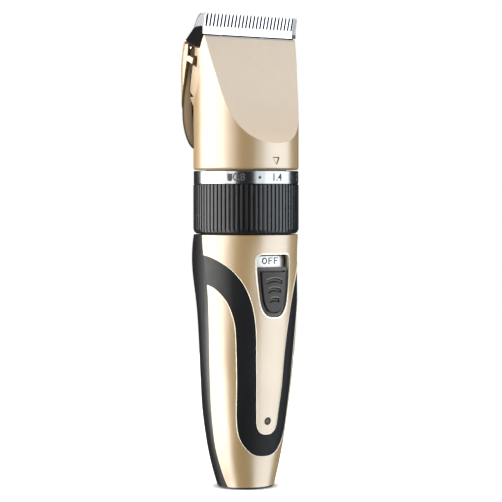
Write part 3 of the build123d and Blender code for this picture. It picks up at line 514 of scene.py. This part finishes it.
def off_letters(wo, wf, h, gap, stroke, thick):
    """the word OFF as plain strokes: a narrow round O and two F"""
    bm = bmesh.new()
    x0 = -(wo + 2 * wf + 2 * gap) / 2
    n = 28
    ring = []
    for i in range(n):
        c, q = math.cos(2 * math.pi * i / n), math.sin(2 * math.pi * i / n)
        row = []
        for k, zz in ((0.0, -1), (0.0, 1), (stroke, -1), (stroke, 1)):
            row.append(bm.verts.new((x0 + wo / 2 + (wo / 2 - k) * c, (h / 2 - k) * q, zz * thick / 2)))
        ring.append(row)
    for i in range(n):
        a, b = ring[i], ring[(i + 1) % n]
        bm.faces.new((a[1], b[1], b[3], a[3]))
        bm.faces.new((a[2], b[2], b[0], a[0]))
        bm.faces.new((a[0], b[0], b[1], a[1]))
        bm.faces.new((a[3], b[3], b[2], a[2]))
    for j in range(2):
        x = x0 + wo + gap + j * (wf + gap)
        z0, z1 = -h / 2, h / 2
        pts = [(x, z0), (x + stroke, z0), (x + stroke, -stroke * 0.35), (x + 0.85 * wf, -stroke * 0.35), (x + 0.85 * wf, stroke * 0.55),
               (x + stroke, stroke * 0.55), (x + stroke, z1 - stroke * 0.85), (x + wf, z1 - stroke * 0.85), (x + wf, z1), (x, z1)]
        lo = [bm.verts.new((px, pz, -thick / 2)) for px, pz in pts]
        hi = [bm.verts.new((px, pz, thick / 2)) for px, pz in pts]
        bm.faces.new(hi)
        bm.faces.new(list(reversed(lo)))
        for i in range(len(pts)):
            k = (i + 1) % len(pts)
            bm.faces.new((lo[i], lo[k], hi[k], hi[i]))
    me = bpy.data.meshes.new("off_letters")
    bm.to_mesh(me)
    bm.free()
    return me


def wrap(name, me, radius, angle, z, mat, body):
    """lays a flat print round an upright cylinder; angle 0 is the front, positive to the right"""
    fine(me, 0.00035)
    for v in me.vertices:
        a = math.radians(angle) + v.co.x / radius
        r = radius + v.co.z
        v.co = Vector((r * math.sin(a), -r * math.cos(a), z + v.co.y))
    me.materials.clear()
    me.materials.append(mat.m)
    o = bpy.data.objects.new(name, me)
    scene.collection.objects.link(o)
    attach(o, body)
    return o


def disc(r, n=24):
    return [(r * math.cos(2 * math.pi * i / n), r * math.sin(2 * math.pi * i / n)) for i in range(n)]


def bar(x0, x1, z0, z1):
    return [(x0, z0), (x1, z0), (x1, z1), (x0, z1)]


BAND_R, BAND_Z = 0.01951, 0.1153
T = 0.00008
for lab, ang in (("0.8", -43.0), ("1.4", 0.0), ("2.0", 43.0)):
    wrap("scale_" + lab.replace(".", "_"), solid_text("n" + lab, lab, 0.0038, T, 0.00004), BAND_R, ang, BAND_Z, scale_ink, "dial")
for i, ang in enumerate((-20.5, 21.5)):
    wrap("scale_dot_%d" % i, flat_shape("dot%d" % i, [disc(0.00055)], T), BAND_R, ang, BAND_Z, scale_ink, "dial")
SHIELD = [(0.00095, -0.0005), (0.00095, 0.0014), (-0.00095, 0.0014), (-0.00095, -0.0005)] + [
    (-0.00095 * math.cos(math.pi * i / 10), -0.0005 - 0.0009 * math.sin(math.pi * i / 10)) for i in range(1, 10)]
for i, ang in enumerate((-53.0, 53.0)):
    wrap("scale_end_%d" % i, flat_shape("end%d" % i, [SHIELD], T), BAND_R, ang, BAND_Z, scale_ink, "dial")

# pointer on the collar of the head
ptr = flat_shape("pointer", [bar(-0.00135, 0.00135, 0.00105, 0.00135),
                             [(0.00135, 0.00105), (0.00085, 0.00105), (-0.0001, -0.00135), (0.0003, -0.00135)],
                             [(-0.00129, 0.00105), (-0.00135, 0.00105), (-0.0001, -0.00135), (-0.00003, -0.00135)]], T)
wrap("pointer_mark", ptr, 0.01961, -1.2, 0.1214, pointer_ink, "housing")


# ------------------------------------------------------------------ fine edges laid on the shells
def tree_of(*names):
    bm = bmesh.new()
    for nm in names:
        bm.from_mesh(nodes[nm].data)
    t = BVHTree.FromBMesh(bm)
    bm.free()
    return t


# "OFF" on the plate behind the switch window
plate_tree = tree_of("switch_plate")
off = off_letters(0.0021, 0.00195, 0.00245, 0.00055, 0.00046, 0.00006)
fine(off, 0.0004)
for v in off.vertices:
    x, z = v.co.x - 0.0004, 0.0848 + v.co.y
    hit, nrm, idx, dist = plate_tree.ray_cast(Vector((x, -0.05, z)), Vector((0, 1, 0)))
    v.co = Vector((x, hit.y - 0.00004 - v.co.z, z))
off.materials.clear()
off.materials.append(ink.m)
off_o = bpy.data.objects.new("switch_off_print", off)
scene.collection.objects.link(off_o)
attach(off_o, "housing")


def edge_lines(name, host, other, radius, mat, body, n=6):
    """a fine bead along the outer edges of one node where it borders another"""
    bm = bmesh.new()
    bm.from_mesh(nodes[host].data)
    bmesh.ops.remove_doubles(bm, verts=bm.verts, dist=1e-6)
    bm.normal_update()
    near, block = tree_of(other), tree_of(host, other)
    keep = {}
    for e in bm.edges:
        if len(e.link_faces) != 2 or e.calc_face_angle(0.0) < math.radians(35):
            continue
        mid = (e.verts[0].co + e.verts[1].co) / 2
        if near.find_nearest(mid)[3] > 0.00015:
            continue
        out = (e.link_faces[0].normal + e.link_faces[1].normal).normalized()
        flat = Vector((mid.x, mid.y, 0)).normalized()
        if block.ray_cast(mid + flat * 0.0002, flat)[0] is not None or out.dot(flat) < 0.2:
            continue
        for u, v in ((0, 1), (1, 0)):
            keep.setdefault(e.verts[u].index, []).append(e.verts[v].index)
    co = {v.index: v.co.copy() for v in bm.verts}
    bm.free()
    chains, seen = [], set()
    for start in sorted(keep, key=lambda k: (len(keep[k]) != 1, k)):
        if start in seen:
            continue
        chain, cur = [start], start
        seen.add(start)
        while True:
            nxt = [k for k in sorted(keep[cur]) if k not in seen]
            if not nxt:
                break
            cur = nxt[0]
            seen.add(cur)
            chain.append(cur)
        if len(chain) > 8:
            chains.append([co[k] for k in chain])
    bm = bmesh.new()
    for pts in chains:
        rows = []
        for i, q in enumerate(pts):
            t = (pts[min(i + 1, len(pts) - 1)] - pts[max(i - 1, 0)]).normalized()
            a = Vector((q.x, q.y, 0)).normalized()
            a = (a - t * a.dot(t)).normalized()
            b = t.cross(a)
            rows.append([bm.verts.new(q + a * radius * math.cos(2 * math.pi * k / n) + b * radius * math.sin(2 * math.pi * k / n)) for k in range(n)])
        for r0, r1 in zip(rows, rows[1:]):
            for k in range(n):
                bm.faces.new((r0[k], r0[(k + 1) % n], r1[(k + 1) % n], r1[k]))
        bm.faces.new(list(reversed(rows[0])))
        bm.faces.new(rows[-1])
    bmesh.ops.recalc_face_normals(bm, faces=bm.faces)
    me = bpy.data.meshes.new(name)
    bm.to_mesh(me)
    bm.free()
    me.polygons.foreach_set("use_smooth", [True] * len(me.polygons))
    me.materials.append(mat.m)
    o = bpy.data.objects.new(name, me)
    scene.collection.objects.link(o)
    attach(o, body)
    print("edge_lines", name, len(chains), [len(c) for c in chains])
    return o


# pale gold bead along the shell's edge by the inlay: a painted highlight for its chamfer
edge_lines("inlay_edge_highlight", "front_shell", "grip_inlay", 0.00016, edge_highlight_gold, "housing")

# ------------------------------------------------------------------ floor, light, camera
def round_floor(radius=0.6, rings=6, n=64):
    """plain pale disc under the object"""
    bm = bmesh.new()
    mid = bm.verts.new((0, 0, 0))
    last = None
    for k in range(1, rings + 1):
        r = radius * k / rings
        row = [bm.verts.new((r * math.cos(2 * math.pi * i / n), r * math.sin(2 * math.pi * i / n), 0.0)) for i in range(n)]
        for i in range(n):
            j = (i + 1) % n
            if last is None:
                bm.faces.new((mid, row[i], row[j]))
            else:
                bm.faces.new((last[i], row[i], row[j], last[j]))
        last = row
    me = bpy.data.meshes.new("floor")
    bm.to_mesh(me)
    bm.free()
    o = bpy.data.objects.new("floor", me)
    scene.collection.objects.link(o)
    return o


fl = round_floor()
fm = moulded("floor_paper", (0.55, 0.55, 0.55), (0.57, 0.57, 0.57), 0.7, 0.8, 300.0, 0.02)
# the paper glows away from the foot; the ring round the foot is left unlit, a painted contact shadow
away = fm.n("ShaderNodeVectorMath", operation="LENGTH")
fm.link(fm.co.outputs["Object"], away.inputs[0])
glow = fm.n("ShaderNodeMapRange")
glow.inputs["From Min"].default_value = 0.0105
glow.inputs["From Max"].default_value = 0.0150
glow.inputs["To Max"].default_value = 0.8
fm.link(away.outputs["Value"], glow.inputs["Value"])
fm.set(Emission_Color=(1.0, 1.0, 1.0, 1.0))
fm.link(glow.outputs["Result"], fm.b.inputs["Emission Strength"])
fl.data.materials.append(fm.m)
fl.visible_glossy = False
fl.visible_diffuse = False
fl.visible_shadow = False

AZ = math.radians(-35.5)
BACK = Vector((math.sin(AZ), -math.cos(AZ), 0))
RIGHT = Vector((math.cos(AZ), math.sin(AZ), 0))


def area(name, pos, target, sx, sy, power, color=(1, 1, 1)):
    l = bpy.data.lights.new(name, "AREA")
    l.shape = "RECTANGLE"
    l.size, l.size_y = sx, sy
    l.energy = power
    l.color = color
    o = bpy.data.objects.new(name, l)
    o.location = pos
    o.rotation_mode = "QUATERNION"
    o.rotation_quaternion = (Vector(pos) - Vector(target)).to_track_quat("Z", "Y")
    o.visible_camera = False
    scene.collection.objects.link(o)
    return o


MIDDLE = Vector((0, 0, 0.09))


def at(right, back, up):
    return RIGHT * right + BACK * back + Vector((0, 0, up))


def ring(angle, dist, up):
    """a place on a circle round the object; angle 0 is towards the camera, positive to the right"""
    r = math.radians(angle)
    return at(dist * math.sin(r), dist * math.cos(r), up)


def panel(name, pos, target, sx, sy, level, color=(1, 1, 1)):
    """soft box of even brightness"""
    return area(name, pos, target, sx, sy, level * math.pi * sx * sy, color)


panel("key_left", ring(-80, 0.80, 0.10), MIDDLE, 1.15, 1.2, 4.8)
panel("strip_left", ring(-32, 0.80, 0.095), Vector((0, 0, 0.115)), 0.26, 0.12, 4.2)
panel("low_left", ring(-44, 0.80, -0.34), MIDDLE, 0.32, 0.55, 4.0)
panel("fill_right", ring(74, 0.80, 0.10), MIDDLE, 1.10, 1.2, 3.3, (0.92, 1.0, 1.08))
panel("strip_right", ring(29, 0.80, 0.095), Vector((0, 0, 0.115)), 0.26, 0.12, 3.4, (0.92, 1.0, 1.08))
panel("top_front", ring(0, 0.75, 1.10), MIDDLE, 1.0, 0.5, 0.9)
panel("top", Vector((0, 0, 1.30)), Vector((0, 0, 0)), 1.6, 1.6, 3.6)

# the room is dark to the object and white to the eye
w = bpy.data.worlds.new("studio")
scene.world = w
w.use_nodes = True
wt = w.node_tree
dim = wt.nodes["Background"]
dim.inputs["Color"].default_value = (1.0, 1.0, 1.0, 1.0)
dim.inputs["Strength"].default_value = 0.03
bright = wt.nodes.new("ShaderNodeBackground")
bright.inputs["Color"].default_value = (1.0, 1.0, 1.0, 1.0)
path = wt.nodes.new("ShaderNodeLightPath")
both = wt.nodes.new("ShaderNodeMixShader")
wt.links.new(path.outputs["Is Camera Ray"], both.inputs[0])
wt.links.new(dim.outputs[0], both.inputs[1])
wt.links.new(bright.outputs[0], both.inputs[2])
wt.links.new(both.outputs[0], wt.nodes["World Output"].inputs["Surface"])

cam = bpy.data.cameras.new("camera")
cam.sensor_width = 36.0
DIST, EYE, PXMM = 0.720, 0.110, 2.68
cam.lens = 36.0 * PXMM * DIST * 1000.0 / 502.0
cam.clip_start, cam.clip_end = 0.05, 20.0
co = bpy.data.objects.new("camera", cam)
scene.collection.objects.link(co)
pos = BACK * DIST + Vector((0, 0, EYE))
aim = RIGHT * ((251.0 - 246.0) / PXMM / 1000.0) + Vector((0, 0, EYE - (251.0 - 192.0) / PXMM / 1000.0))
co.location = pos
co.rotation_mode = "QUATERNION"
co.rotation_quaternion = (pos - aim).to_track_quat("Z", "Y")
scene.camera = co
